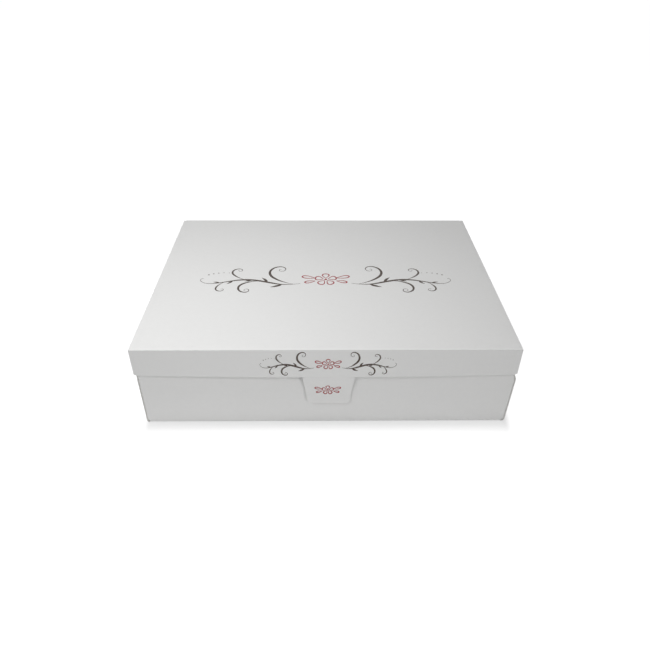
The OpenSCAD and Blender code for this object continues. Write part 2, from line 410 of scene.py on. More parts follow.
def pewter_stamped_foil(tree, settings):
    """Dark taupe metallised film, stamped hot into the coated board.

    It gives a dark line that lights up a little where it turns to a lamp.
    """
    return stamped_foil(tree, settings["colours"].foil, 1.1, (0.38, 0.5), {"Metallic": 0.45})


def red_stamped_foil(tree, settings):
    """Deep red pigment foil, stamped hot into the coated board.

    It is saturated and more even than the pewter foil, with a lacquer gleam.
    """
    return stamped_foil(tree, settings["colours"].red, 1.05, (0.34, 0.44), {"Coat Weight": 0.15})


def grey_offset_ink(tree, settings):
    """Grey offset ink under the satin varnish: flat, with slightly grainy solids."""
    return add_node(tree, "ShaderNodeBsdfPrincipled", {
        "Base Color": blotched(tree, settings["colours"].grey, 0.93, 1.0, 0.6, 2.0),
        "Roughness": 0.5,
        "Coat Weight": 0.2,
        "Coat Roughness": 0.3,
    })


def woven_nylon(tree, settings, thread, roughness):
    """Nylon tape, woven on a narrow loom with threads of that thickness in millimetres."""
    nylon = settings["colours"].nylon
    place = add_node(tree, "ShaderNodeTexCoord")
    weave = add_node(
        tree, "ShaderNodeTexVoronoi",
        {"Vector": place.outputs["Object"], "Scale": per_mm(thread), "Randomness": 0.35},
    )
    # painted shade: the tape is darker towards the edge of each woven cell, in the hollows between
    # the knots
    shadow = add_node(
        tree, "ShaderNodeMix",
        {"Factor": weave.outputs["Distance"], MIX_A: opaque(nylon), MIX_B: opaque(nylon, 0.8)},
        data_type="RGBA",
    )
    knots = add_node(
        tree, "ShaderNodeBump",
        {"Height": weave.outputs["Distance"], "Distance": 0.08 * MM, "Strength": 1.0},
        invert=True,
    )
    return add_node(tree, "ShaderNodeBsdfPrincipled", {
        "Base Color": shadow.outputs[MIX_RESULT],
        "Roughness": roughness,
        "Normal": knots,
        "Sheen Weight": 0.15,
    })


def nylon_hook_tape(tree, settings):
    """Hook tape: stiff single filaments with a small bright gleam on each."""
    return woven_nylon(tree, settings, 0.7, 0.38)


def nylon_loop_tape(tree, settings):
    """Loop tape: brushed soft filaments, matt and slightly fuzzy."""
    return woven_nylon(tree, settings, 0.5, 0.7)


# The shadow painted into the floor's glow round the box, in millimetres
SHADE_REACH = 48.0  # how far out it ends in front of the box and behind it
SHADE_SQUEEZE = 2.6  # how many times nearer it ends beside the box
SHADE_INSET = 3.0  # how far inside each side it starts
SHADE_SHIFT = 3.0  # how far it lies to the right of the box's middle
FLOOR_GLOW = 0.97  # the floor's own light outside the shade, where 1 is white


def seen_directly(tree):
    """1 for the camera's rays and those that reflections and glass send on, or else 0."""
    path = add_node(tree, "ShaderNodeLightPath")
    first = add_node(
        tree, "ShaderNodeMath",
        {0: path.outputs["Is Camera Ray"], 1: path.outputs["Is Glossy Ray"]}, operation="MAXIMUM",
    )
    return add_node(
        tree, "ShaderNodeMath", {0: first, 1: path.outputs["Is Transmission Ray"]},
        operation="MAXIMUM",
    )


def white_studio_floor(tree, settings):
    """A floor painted matt white, which shows white, and grey close to the box, where the box
    shades it and a shadow is painted into the floor's glow.

    For the camera and for what reflections and glass show, it glows just below white by
    itself, less so close to the box, where that dimming is a painted shadow, and takes the rest
    from the lamps. For all other light it is plain white paint.
    """
    place = add_node(tree, "ShaderNodeTexCoord")
    folded = add_node(
        tree, "ShaderNodeVectorMath", {0: place.outputs["Object"]}, operation="ABSOLUTE"
    )
    foot = ((SIDE_X - SHADE_INSET) * MM, (BACK_Y - FRONT_Y) / 2 * MM, 1.0)
    outside = add_node(
        tree, "ShaderNodeVectorMath", {0: folded, 1: foot}, operation="SUBTRACT"
    )
    beside = add_node(
        tree, "ShaderNodeVectorMath", {0: outside, 1: (0.0, 0.0, 0.0)}, operation="MAXIMUM"
    )
    narrower = add_node(
        tree, "ShaderNodeVectorMath", {0: beside, 1: (SHADE_SQUEEZE, 1.0, 1.0)},
        operation="MULTIPLY",
    )
    distance = add_node(tree, "ShaderNodeVectorMath", {0: narrower}, operation="LENGTH")
    # painted shadow: the glow dims close to the box, on top of the real shade that the diffuse part
    # gets from the lamps
    glow = add_node(
        tree, "ShaderNodeMapRange",
        {"Value": distance.outputs["Value"], "From Min": 0.0, "From Max": SHADE_REACH * MM,
         "To Min": settings["studio"].painted_contact_shade, "To Max": FLOOR_GLOW},
        interpolation_type="SMOOTHSTEP",
    )
    emission = add_node(
        tree, "ShaderNodeEmission", {"Color": (1.0, 1.0, 1.0, 1.0), "Strength": glow}
    )
    shaded = add_node(tree, "ShaderNodeBsdfDiffuse", {"Color": (0.3, 0.3, 0.3, 1.0)})
    shown = add_node(tree, "ShaderNodeAddShader", {0: emission, 1: shaded})
    paint = add_node(tree, "ShaderNodeBsdfDiffuse", {"Color": (0.92, 0.92, 0.92, 1.0)})
    return add_node(
        tree, "ShaderNodeMixShader", {0: seen_directly(tree), 1: paint, 2: shown}
    )


MATERIALS = {
    made.__name__: made
    for made in (
        satin_coated_liner, bare_white_liner, fluting_medium, pewter_stamped_foil,
        red_stamped_foil, grey_offset_ink, nylon_hook_tape, nylon_loop_tape, white_studio_floor,
    )
}
BOARD_FINISH = ("satin_coated_liner", "bare_white_liner", "fluting_medium")
OUTER, INNER, CORE = range(3)


def box_settings():
    """The settings of the scene by their short names."""
    scene = bpy.context.scene
    return {name.removeprefix("card_box_"): getattr(scene, name) for name in SETTINGS}


def size_mm(group, name):
    """A size from the settings, in millimetres."""
    return getattr(box_settings()[group], name) / MM


def material(name):
    """A material by name, made when it is first asked for."""
    made = bpy.data.materials.get(name)
    if made is None:
        made = bpy.data.materials.new(name)
        made.use_nodes = True
        tree = made.node_tree
        tree.nodes.clear()
        surface = MATERIALS[name](tree, box_settings())
        add_node(tree, "ShaderNodeOutputMaterial", {"Surface": surface})
    return made


# ------------------------------------------------------------------ meshes


class Shell:
    """Points and faces in millimetres, with each point's place across and along the flutes."""

    def __init__(self):
        self.points = []
        self.flat = []
        self.faces = []
        self.finishes = []

    def point(self, co, flat=(0.0, 0.0)):
        """Adds a point and returns its number."""
        self.points.append(Vector(co) * MM)
        self.flat.append(flat)
        return len(self.points) - 1

    def face(self, corners, finish=0):
        """Adds a face, without the corners that meet."""
        loop = [c for n, c in enumerate(corners) if c != corners[n - 1]]
        if len(loop) > 2:
            self.faces.append(loop)
            self.finishes.append(finish)

    def loft(self, rings, finish=0):
        """Joins closed rings of as many points one after another, and closes both ends."""
        for first, second in zip(rings, rings[1:]):
            for n, corner in enumerate(first):
                self.face([first[n - 1], corner, second[n], second[n - 1]], finish)
        self.face(rings[0][::-1], finish)
        self.face(rings[-1], finish)


def add_piece(name, shell, finishes, slot, replaced=()):
    """Makes the shell a mesh object with its materials, and hides the CAD parts that it replaces."""
    mesh = bpy.data.meshes.new(name)
    mesh.from_pydata(shell.points, [], shell.faces)
    if mesh.validate():
        raise RuntimeError(f"{name} has faces that can't be made")
    mesh.polygons.foreach_set("material_index", shell.finishes)
    flat = mesh.uv_layers.new(name=BOARD_MAP)
    for loop in mesh.loops:
        flat.data[loop.index].uv = shell.flat[loop.vertex_index]
    work = bmesh.new()
    work.from_mesh(mesh)
    bmesh.ops.recalc_face_normals(work, faces=work.faces)
    work.to_mesh(mesh)
    work.free()
    mesh.shade_smooth()
    mesh.set_sharp_from_angle(angle=SHARP)
    for finish in finishes:
        mesh.materials.append(material(finish))
    piece = bpy.data.objects.new(name, mesh)
    bpy.context.scene.collection.objects.link(piece)
    if replaced:
        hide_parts(*replaced)
    return piece


def stations(start, end, step, *marks):
    """Even steps from start to end, with a station at each mark between them."""
    count = max(1, math.ceil((end - start) / step))
    inside = sorted({m for m in marks if start < m < end})
    even = [start + (end - start) * n / count for n in range(1, count)]
    clear = [e for e in even if all(abs(e - m) > step / 4 for m in inside)]
    return sorted([start, end, *inside, *clear])


class Profile:
    """A folded section of board, measured along its outer face.

    inner is 1 where the inner liner is on the left of the way it runs, or -1 on the right.
    """

    def __init__(self, start, heading, inner=1):
        self.runs = []
        self.marks = [0.0]
        self.end = (Vector(start), math.radians(heading))
        self.inner = inner

    def side(self, heading):
        """The direction from the outer liner to the inner one."""
        return Vector((-math.sin(heading), math.cos(heading))) * self.inner

    def _on(self, run, v):
        """The outer face's point and heading at v, on that run."""
        start, point, heading, radius = run
        if not radius:
            return point + Vector((math.cos(heading), math.sin(heading))) * (v - start), heading
        turned = heading + self.inner * (v - start) / radius
        centre = point + self.side(heading) * radius
        return centre - self.side(turned) * radius, turned

    def _add(self, run_length, radius):
        run = (self.marks[-1], *self.end, radius)
        self.runs.append(run)
        self.marks.append(self.marks[-1] + run_length)
        self.end = self._on(run, self.marks[-1])
        return self

    def straight(self, run_length):
        """Goes straight on."""
        return self._add(run_length, 0.0)

    def fold(self, radius):
        """Folds through a right angle, towards the inner liner."""
        return self._add(radius * math.pi / 2, radius)

    def at(self, v, depth):
        """The point at v, depth in from the outer face."""
        run = [r for r in self.runs if r[0] <= v][-1:] or self.runs[:1]
        point, heading = self._on(run[0], v)
        return point + self.side(heading) * depth

    def stations(self, step, *marks):
        """Stations along the section, close together round its folds."""
        found = {self.marks[0]}
        for (start, _, _, radius), end in zip(self.runs, self.marks[1:]):
            inside = [m for m in marks if start < m < end]
            found.update(stations(start, end, radius / 5 if radius else step, *inside))
        return sorted(found)


class Sheet(Shell):
    """A sheet of fluted board on the grid of stations us and vs.

    place gives the point at u, v and a depth in from the outer face. flutes is the way that
    they run, u or v. raw names the sides that are cut edges, of u0, u1, v0 and v1, and a cut
    inside the grid always is one. keep tells which cells there are, and span gives the lowest
    and highest u at v where they change.
    """

    def __init__(self, us, vs, place, flutes, raw, keep, span):
        super().__init__()
        self.us, self.vs = us, vs
        self.place, self.flutes, self.raw = place, flutes, raw
        self.span = span or (lambda v: (us[0], us[-1]))
        self.liner, self.pitch = size_mm("board", "liner"), size_mm("board", "pitch")
        self.cells = {
            (i, j)
            for i in range(len(us) - 1)
            for j in range(len(vs) - 1)
            if not keep or keep((us[i] + us[i + 1]) / 2, (vs[j] + vs[j + 1]) / 2)
        }
        self.numbers = {}

    def u_at(self, i, v):
        """Where station i of u is at v."""
        us = self.us
        first, last = self.span(v)
        return first + (last - first) * (us[i] - us[0]) / (us[-1] - us[0])

    def is_cut(self, way, n):
        """Whether a line of the grid, the nth on which u or v stays the same, can be a cut."""
        last = len(self.us if way == "u" else self.vs) - 1
        side = {0: way + "0", last: way + "1"}.get(n)
        return side is None or side in self.raw

    def inset(self, i, j):
        """How far a cut edge's core lies in from it there, in u and in v."""
        before, right = (i - 1, j - 1) in self.cells, (i, j - 1) in self.cells
        left, beyond = (i - 1, j) in self.cells, (i, j) in self.cells
        along_u = right + beyond - before - left
        along_v = left + beyond - before - right
        reach = {"u": SIDE_EDGE, "v": SIDE_EDGE, self.flutes: OPEN_EDGE}
        return (
            math.copysign(reach["u"], along_u) if along_u and self.is_cut("u", i) else 0.0,
            math.copysign(reach["v"], along_v) if along_v and self.is_cut("v", j) else 0.0,
        )

    def corner(self, i, j, layer):
        """The point at a corner of the grid, on one of six layers from the outer face in.

        Layers 2 and 3 hold the core between them, and lie in from a cut edge.
        """
        liner = self.liner
        depth = (0.0, liner, liner, BOARD - liner, BOARD - liner, BOARD)[layer]
        du, dv = self.inset(i, j) if layer in (2, 3) else (0.0, 0.0)
        key = (i, j, depth, du, dv)
        if key not in self.numbers:
            u, v = self.u_at(i, self.vs[j]) + du, self.vs[j] + dv
            flat = (v, u) if self.flutes == "u" else (u, v)
            self.numbers[key] = self.point(self.place(u, v, depth), flat)
        return self.numbers[key]

    def edge(self, first, second):
        """Adds the edge of the board from one corner of the grid to the next."""
        for layer, finish in enumerate((INNER, INNER, CORE, INNER, INNER)):
            self.face(
                [self.corner(*first, layer), self.corner(*second, layer),
                 self.corner(*second, layer + 1), self.corner(*first, layer + 1)], finish,
            )

    def add_board(self):
        """Adds both faces of the board and the edge round them."""
        for i, j in sorted(self.cells):
            around = [(i, j), (i + 1, j), (i + 1, j + 1), (i, j + 1)]
            self.face([self.corner(*c, 0) for c in around], OUTER)
            self.face([self.corner(*c, 5) for c in reversed(around)], INNER)
            for n, beside in enumerate([(i, j - 1), (i + 1, j), (i, j + 1), (i - 1, j)]):
                if beside not in self.cells:
                    self.edge(around[n], around[(n + 1) % 4])

    def shifted(self, line, s, shift, depth):
        """The point s along a line of the grid, shifted across it."""
        if self.flutes == "u":
            return self.place(self.u_at(line, s) + shift, s, depth)
        return self.place(s, self.vs[line] + shift, depth)

    def fluted_paper(self, line, way, start, end):
        """Adds the fluted paper between the liners, from start to end along one cut edge."""
        swing = BOARD / 2 - self.liner - MEDIUM / 2 - FLUTE_CLEAR
        corners = ((FLUTE_START, -1), (OPEN_EDGE, -1), (OPEN_EDGE, 1), (FLUTE_START, 1))
        count = max(4, math.ceil((end - start) / self.pitch * FLUTE_STEPS))
        rings = []
        for n in range(count + 1):
            s = start + (end - start) * n / count
            middle = BOARD / 2 + swing * math.sin(math.tau * s / self.pitch)
            rings.append([
                self.point(
                    self.shifted(line, s, way * inwards, middle + side * MEDIUM / 2), (s, 0.0)
                )
                for inwards, side in corners
            ])
        self.loft(rings, CORE)

    def open_runs(self, line, way):
        """The runs of cells that lie on that side of a line and end at it, as station numbers."""
        across = self.vs if self.flutes == "u" else self.us
        here, beyond = (line, line - 1) if way > 0 else (line - 1, line)
        runs = []
        for n in range(len(across) - 1):
            inside, outside = [
                ((k, n) if self.flutes == "u" else (n, k)) in self.cells for k in (here, beyond)
            ]
            if not inside or outside:
                continue
            if runs and runs[-1][1] == n:
                runs[-1][1] = n + 1
            else:
                runs.append([n, n + 1])
        return runs

    def add_flutes(self):
        """Adds the flutes along each cut edge that they end at."""
        for line in range(len(self.us if self.flutes == "u" else self.vs)):
            if not self.is_cut(self.flutes, line):
                continue
            for way in (1, -1):
                for run in self.open_runs(line, way):
                    start, end = [
                        self.vs[n] if self.flutes == "u" else self.u_at(n, self.vs[line])
                        for n in run
                    ]
                    self.fluted_paper(line, way, start + FLUTE_MARGIN, end - FLUTE_MARGIN)


def board_sheet(name, us, vs, place, flutes, raw=(), keep=None, span=None, **piece):
    """Makes a sheet of fluted board a piece, with its faces, its cut edges and its flutes."""
    sheet = Sheet(us, vs, place, flutes, raw, keep, span)
    sheet.add_board()
    sheet.add_flutes()
    return add_piece(name, sheet, BOARD_FINISH, **piece)


# -------------------------------------------------------------------- tray


def smooth(t):
    """0 to 1 with a gentle start and end."""
    t = max(0.0, min(1.0, t))
    return t * t * (3 - 2 * t)


def tongue_cell(y, half):
    """Whether y is within half of the middle of a tongue."""
    return abs(abs(y - MID_Y) - TONGUE_Y) < half


def tongue_marks(half):
    """The ends of both tongues, each half as long as half."""
    return [MID_Y + s * TONGUE_Y + e * half for s in (-1, 1) for e in (-1, 1)]


def build_base():
    """The base panel, open where the tongues of the sides go through it."""
    slot_half = TONGUE_HALF + TONGUE_GAP
    slot_x = INNER_X - BOARD - TONGUE_GAP
    half = SIDE_X - SIDE_FOLD
    board_sheet(
        "base_panel_board",
        stations(-half, half, 25.0, -slot_x, slot_x),
        stations(FRONT_Y + WALL_FOLD, BACK_Y - WALL_FOLD, 25.0, *tongue_marks(slot_half)),
        lambda u, v, depth: (u, v, depth),
        flutes="v",
        keep=lambda x, y: abs(x) < slot_x or not tongue_cell(y, slot_half),
        slot="bare_liner",
        replaced=["base_panel"],
    )
    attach(bpy.data.objects["base_panel_board"], "tray")


def swell(y, z, amount):
    """How far a side of the tray swells out: most at its front corner, under the skirt."""
    if not 0 < z < SKIRT_LOW.z:
        return 0.0
    fading = 1.0 - SWELL_FADED * smooth((y - FRONT_Y) / SWELL_FADE)
    shoulder = smooth((SKIRT_LOW.z - z) / SWELL_SHOULDER) * smooth(z / SWELL_FOOT)
    return amount * fading * (SWELL_LOW + (1 - SWELL_LOW) * z / SKIRT_LOW.z) * shoulder


def swollen(x, y, z):
    """x, drawn out as much as the swelling side that it is close to."""
    amount = size_mm("board", "bulge") * (1.0 if x > 0 else SWELL_LEFT)
    pull = smooth((abs(x) - SIDE_X + SWELL_PULL) / SWELL_FULL)
    return x + math.copysign(swell(y, z, amount), x) * pull


def build_end_walls():
    """The front and back walls, each with the fold at its foot."""
    section = Profile((FRONT_Y + WALL_FOLD, 0.0), 180, -1).fold(WALL_FOLD)
    section.straight(WALL_TOP - WALL_FOLD)
    for wall, facing in ENDS:
        def place(u, v, depth, facing=facing):
            y, z = section.at(v, depth)
            y = MID_Y + facing * (y - MID_Y)
            return (swollen(u, y, z), y, z)

        sheet = board_sheet(
            f"{wall}_wall_board",
            stations(-WALL_HALF, WALL_HALF, 12.0),
            section.stations(5.0),
            place,
            flutes="v",
            raw=["v1"] if wall == "front" else [],
            slot="satin_board",
            replaced=[f"{wall}_wall"],
        )
        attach(sheet, "tray")


def build_rolled_sides():
    """Each side in one sheet: up outside, over the rim and down inside to its tongues."""
    section = Profile((SIDE_X - SIDE_FOLD, 0.0), 0).fold(SIDE_FOLD).straight(SIDE_TOP - SIDE_FOLD)
    section.fold(RIM_FOLD).straight(SIDE_THICK - 2 * RIM_FOLD).fold(RIM_FOLD)
    section.straight(SIDE_TOP - INNER_FOOT).straight(INNER_FOOT - TONGUE_TIP)
    outer_end, foot = section.marks[2], section.marks[-2]
    slot_end = SIDE_FOLD * math.asin((INNER_X + TONGUE_GAP - SIDE_X + SIDE_FOLD) / SIDE_FOLD)
    slot_half = TONGUE_HALF + TONGUE_GAP
    last_tuck = 2 * MID_Y - TUCK_Y

    def keep(y, v):
        if v < slot_end:
            return not tongue_cell(y, slot_half)
        if v < outer_end:
            return True
        return TUCK_Y < y < last_tuck and (v < foot or tongue_cell(y, TONGUE_HALF))

    for side, way in SIDES:
        def place(u, v, depth, way=way):
            x, z = section.at(v, depth)
            return (swollen(way * x, u, z) if v < outer_end else way * x, u, z)

        sheet = board_sheet(
            f"{side}_side_board",
            stations(FRONT_Y, BACK_Y, 20.0, TUCK_Y, last_tuck,
                     *tongue_marks(slot_half), *tongue_marks(TONGUE_HALF)),
            section.stations(4.0, slot_end),
            place,
            flutes="u",
            raw=["u0", "u1", "v1"],
            keep=keep,
            slot="satin_board",
            replaced=[f"{side}_wall_outer", f"{side}_rim", f"{side}_wall_inner"],
        )
        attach(sheet, "tray")


def build_corner_flaps():
    """The flaps that carry the end walls round the corners, inside the rolled sides."""
    tight = BOARD + 0.15  # the outside radius that a flap turns the corner on
    section = Profile((WALL_HALF, FRONT_Y), 0).straight(FLAP_HIGH.x - tight - WALL_HALF)
    section.fold(tight).straight(FLAP_HIGH.y - FRONT_Y - tight)
    turn_end = section.marks[2]

    def span(v):
        run = max(0.0, v - turn_end) / (section.marks[-1] - turn_end)
        return FLAP_LOW.z, FLAP_HIGH.z - FLAP_TAPER * run

    for end, facing in ENDS:
        for side, way in SIDES:
            def place(u, v, depth, facing=facing, way=way):
                x, y = section.at(v, depth)
                y = MID_Y + facing * (y - MID_Y)
                return (swollen(way * x, y, u), y, u)

            flap = board_sheet(
                f"{end}_{side}_flap_board",
                stations(FLAP_LOW.z, FLAP_HIGH.z, 5.0),
                section.stations(12.0),
                place,
                flutes="u",
                raw=["u0", "u1", "v1"],
                span=span,
                slot="satin_board",
                replaced=[f"{end}_{side}_flap"],
            )
            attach(flap, "tray")


# --------------------------------------------------------------------- lid


def bow_at(x, z):
    """How far the front skirt stands out at x and z."""
    drop = (LID_LOW.z - z) / (LID_LOW.z - SKIRT_LOW.z)
    return SKIRT_BOW * (1 - (x / LID_HIGH.x) ** 2) * drop


UNDER_RISE = 0.2  # how far the lid panel's inner face follows its waves upwards


def wave_at(x, y):
    """How far the lid panel rises at x and y. Its edges stay where they are.

    Two long waves cross, and a shorter one runs along the diagonal.
    """
    amount = size_mm("board", "waviness")
    inside_x = 1 - (x / LID_HIGH.x) ** 2
    inside_y = 1 - ((y - MID_Y) / (LID_HIGH.y - MID_Y)) ** 2
    if inside_x <= 0 or inside_y <= 0:
        return 0.0
    ripple = math.sin(x / 71 + 0.6) * math.cos(y / 58 - 0.4) + 0.6 * math.sin((x + y) / 43)
    return amount * ripple * min(1.0, 4 * inside_x) * min(1.0, 4 * inside_y)


def lid_place(u, v, depth):
    """A point of the lid panel, whose three creased edges turn down round the same radius."""
    fold = size_mm("board", "lid_fold")
    flat_x, flat_y = LID_HIGH.x - fold, LID_LOW.y + fold
    over_x, over_y = max(0.0, abs(u) - flat_x), max(0.0, flat_y - v)
    over = max(over_x, over_y)
    x, y = max(-flat_x, min(flat_x, u)), max(flat_y, v)
    z = LID_HIGH.z + wave_at(x, y)
    if over:
        turn = over / fold
        x += math.copysign(fold * math.sin(turn) * over_x / over, u)
        y -= fold * math.sin(turn) * over_y / over
        z -= fold * (1 - math.cos(turn))
    rise = min(wave_at(x, y), UNDER_RISE)
    within = max(0.0, depth) / BOARD
    return (x, y, z - min(depth, 0.0) + (LID_LOW.z - z + rise) * within)


def build_lid_panel():
    """The lid panel, creased round at its front and at both sides."""
    fold = size_mm("board", "lid_fold")
    arc = fold * math.pi / 2
    flat_x, flat_y = LID_HIGH.x - fold, LID_LOW.y + fold
    turn = stations(0.0, arc, arc / 6)[1:]
    side_turns = [flat_x + t for t in turn]
    us = [-s for s in reversed(side_turns)] + stations(-flat_x, flat_x, 14.0) + side_turns
    vs = [flat_y - t for t in reversed(turn)] + stations(flat_y, LID_HIGH.y, 14.0)
    panel = board_sheet(
        "lid_panel_board", us, vs, lid_place, flutes="v",
        slot="satin_board", replaced=["lid_panel"],
    )
    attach(panel, "lid")


def skirt_place(u, v, depth):
    """A point of the front skirt: u is its height and v its place across."""
    return (v, LID_LOW.y - bow_at(v, u) + depth, u)


def build_skirts():
    """The front skirt, which bows out at its free edge, and the two side skirts."""
    cut_w, cut_h = SKIRT_CUT
    half, top = LID_HIGH.x, LID_LOW.z

    def front_span(v):
        return SKIRT_LOW.z + cut_h * max(0.0, abs(v) - half + cut_w) / cut_w, top

    front = board_sheet(
        "lid_front_skirt_board",
        stations(SKIRT_LOW.z, top, 8.0),
        stations(-half, half, 14.0, -half + cut_w, half - cut_w),
        skirt_place,
        flutes="u",
        raw=["u0", "v0", "v1"],
        span=front_span,
        slot="satin_board",
        replaced=["lid_front_skirt"],
    )
    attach(front, "lid")

    rear = SIDE_SKIRT_HIGH.y

    def side_span(v):
        return SIDE_SKIRT_LOW.z + max(0.0, v - rear + SIDE_SKIRT_CUT), top

    for side, way in SIDES:
        skirt = board_sheet(
            f"lid_{side}_skirt_board",
            stations(SIDE_SKIRT_LOW.z, top, 10.0),
            stations(SIDE_SKIRT_LOW.y, rear, 25.0, rear - SIDE_SKIRT_CUT),
            lambda u, v, depth, way=way: (way * (half - depth), v, u),
            flutes="v",
            raw=["u0", "v1"],
            span=side_span,
            slot="satin_board",
            replaced=[f"lid_{side}_skirt"],
        )
        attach(skirt, "lid")


def build_glue_flaps():
    """The ends of the side skirts, turned in and glued behind the front skirt."""
    behind = BOARD + 0.1  # the front skirt's board and a film of glue

    def span(v):
        run = (GLUE_HIGH.x - v) / (GLUE_HIGH.x - GLUE_LOW.x)
        return GLUE_LOW.z + GLUE_SLOPE * run, GLUE_HIGH.z - GLUE_SLOPE * run

    for side, way in SIDES:
        def place(u, v, depth, way=way):
            return (way * v, LID_LOW.y - bow_at(v, u) + behind + depth, u)

        flap = board_sheet(
            f"lid_{side}_glue_flap_board",
            stations(GLUE_LOW.z, GLUE_HIGH.z, 8.0),
            stations(GLUE_LOW.x, GLUE_HIGH.x, 10.0),
            place,
            flutes="v",
            raw=["u0", "u1", "v0"],
            span=span,
            slot="bare_liner",
            replaced=[f"lid_{side}_glue_flap"],
        )
        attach(flap, "lid")


# --------------------------------------------------------------------- tab


def tab_point(s, depth):
    """A point of the tab's section, s down from its axis and depth in from its outer face.

    The tab leans in from its crease until its dots meet, and curls out a little at its foot.
    """
    ease, upright = TAB_EASE
    in_by = FRONT_Y - DOTS_CLOSED - BOARD - TAB_AXIS.y + TAB_BEAD_R
    half_eased = (DOT_DOWN - ease) ** 2 / (2 * (upright - ease))
    lean = in_by / (DOT_DOWN - half_eased)
    bend = lean / (upright - ease)
    angle = lean - bend * max(0.0, s - ease)
    run = min(s, ease)
    y = TAB_AXIS.y - TAB_BEAD_R * math.cos(lean) + run * math.sin(lean)
    z = TAB_AXIS.z - TAB_BEAD_R * math.sin(lean) - run * math.cos(lean)
    y += (math.cos(angle) - math.cos(lean)) / bend + depth * math.cos(angle)
    z += (math.sin(angle) - math.sin(lean)) / bend + depth * math.sin(angle)
    return y, z


def tab_place(u, v, depth):
    """A point of the tab: u is its place across and v down it."""
    y, z = tab_point(v, depth)
    return (TAB_AXIS.x + u, y, z)


def build_tab():
    """The closure tab, which narrows to two round corners."""
    corner_start = TAB_LENGTH - TAB_CORNER
    corner_turn = [math.radians(a) for a in range(0, 91, 9)]
    corner = [corner_start + TAB_CORNER * math.sin(a) for a in corner_turn]

    def span(v):
        half = TAB_HALF - TAB_TAPER * (v - TAB_START) / (TAB_LENGTH - TAB_START)
        into = max(0.0, v - corner_start)
        half -= TAB_CORNER - math.sqrt(max(0.0, TAB_CORNER ** 2 - into ** 2))
        return -half, half

    tab = board_sheet(
        "closure_tab_board",
        stations(-TAB_HALF, TAB_HALF, 6.0),
        stations(TAB_START, corner_start, 3.0) + corner[1:],
        tab_place,
        flutes="v",
        raw=["u0", "u1", "v1"],
        span=span,
        slot="satin_board",
        replaced=["closure_tab"],
    )
    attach(tab, "tab")


# ----------------------------------------------------------------- creases

PROUD = 0.04  # how far a crease's liner stands clear of the boards it joins


def crease_liner(name, us, vs, place, thickness):
    """The outer liner, left whole where two boards are creased together."""
    shell = Shell()
    rings = []
    for u in us:
        outside = [shell.point(place(u, v, 0.0), (u, v)) for v in vs]
        inside = [shell.point(place(u, v, thickness(v)), (u, v)) for v in reversed(vs)]
        rings.append((outside, inside))
    for (out_a, in_a), (out_b, in_b) in zip(rings, rings[1:]):
        for n in range(len(vs) - 1):
            shell.face([out_a[n], out_a[n + 1], out_b[n + 1], out_b[n]], OUTER)
            shell.face([in_a[n], in_a[n + 1], in_b[n + 1], in_b[n]], INNER)
        shell.face([out_a[0], out_b[0], in_b[-1], in_a[-1]], INNER)
        shell.face([out_a[-1], out_b[-1], in_b[0], in_a[0]], INNER)
    last = len(vs) - 1
    for outside, inside in (rings[0], rings[-1]):
        for n in range(last):
            shell.face([outside[n], outside[n + 1], inside[last - n - 1], inside[last - n]], INNER)
    node = name.removesuffix("_liner")
    return add_piece(name, shell, BOARD_FINISH, "satin_board", [node])


def build_rear_crease():
    """The crease that the lid turns on, from the back wall over to the lid."""
    liner = size_mm("board", "liner")
    radius = BACK_Y + PROUD - REAR_AXIS.y
    lap = 5.0
    ridge, spread = 0.18, 0.8  # how much thicker the liner is at the crease, and how widely
    section = Profile((BACK_Y + PROUD, REAR_AXIS.z - lap), 90)
    section.straight(lap).fold(radius).straight(lap)
    middle = (section.marks[1] + section.marks[2]) / 2

    def place(u, v, depth):
        y, z = section.at(v, depth)
        return (u, y, z)

    strip = crease_liner(
        "rear_crease_liner",
        stations(-WALL_HALF, WALL_HALF, 15.0),
        section.stations(0.8),
        place,
        lambda v: liner + ridge * math.exp(-(((v - middle) / spread) ** 2)),
    )
    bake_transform(strip)


def build_tab_crease():
    """The crease that the tab turns on, pressed in a little along its line."""
    liner = size_mm("board", "liner")
    above, below = 3.6, 3.0  # how far the liner laps over the skirt and the tab
    turn_start, turn_run = -1.0, 1.6  # where it turns from the skirt to the tab, and how long
    press, spread = 0.28, 0.7  # how deep the crease is pressed in, and how widely

    def place(u, v, depth):
        skirt = Vector(skirt_place(TAB_AXIS.z - v, TAB_AXIS.x + u, depth - PROUD))
        tab = Vector(tab_place(u, v, depth - PROUD))
        point = skirt.lerp(tab, smooth((v - turn_start) / turn_run))
        point.y += press * math.exp(-((v / spread) ** 2))
        return point

    strip = crease_liner(
        "tab_crease_liner",
        stations(-TAB_HALF, TAB_HALF, 5.0),
        stations(-above, below, 0.3),
        place,
        lambda v: liner,
    )
    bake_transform(strip)


# ------------------------------------------------------------ hook and loop

SKEW = (0.31, 0.87, 0.39)  # a direction that no filament runs in


def bristle(shell, path, thickness, place):
    """A filament along path, a list of points across, along and up from the tape."""
    rings = []
    for n, point in enumerate(path):
        before, after = path[max(0, n - 1)], path[min(len(path) - 1, n + 1)]
        way = (Vector(after) - Vector(before)).normalized()
        side = way.cross(Vector(SKEW)).normalized() * thickness / 2
        lift = way.cross(side)
        corners = [Vector(point) + offset for offset in (side, lift, -side, -lift)]
        rings.append([shell.point(place(*corner), (corner.x, corner.y)) for corner in corners])
    shell.loft(rings)


def tape_base(shell, thickness, place):
    """The woven disc that the filaments stand on, with its edge slightly rounded."""
    rim = thickness * 0.3
    rows = ((DOT_R, 0.0), (DOT_R, thickness - rim), (DOT_R - rim, thickness))
    rows += tuple((DOT_R * share, thickness) for share in (0.7, 0.4, 0.15))
    count = 40
    rings = [
        [shell.point(place(r * math.cos(a), r * math.sin(a), h), (r * math.cos(a), r * math.sin(a)))
         for a in (math.tau * n / count for n in range(count))]
        for r, h in rows
    ]
    shell.loft(rings)


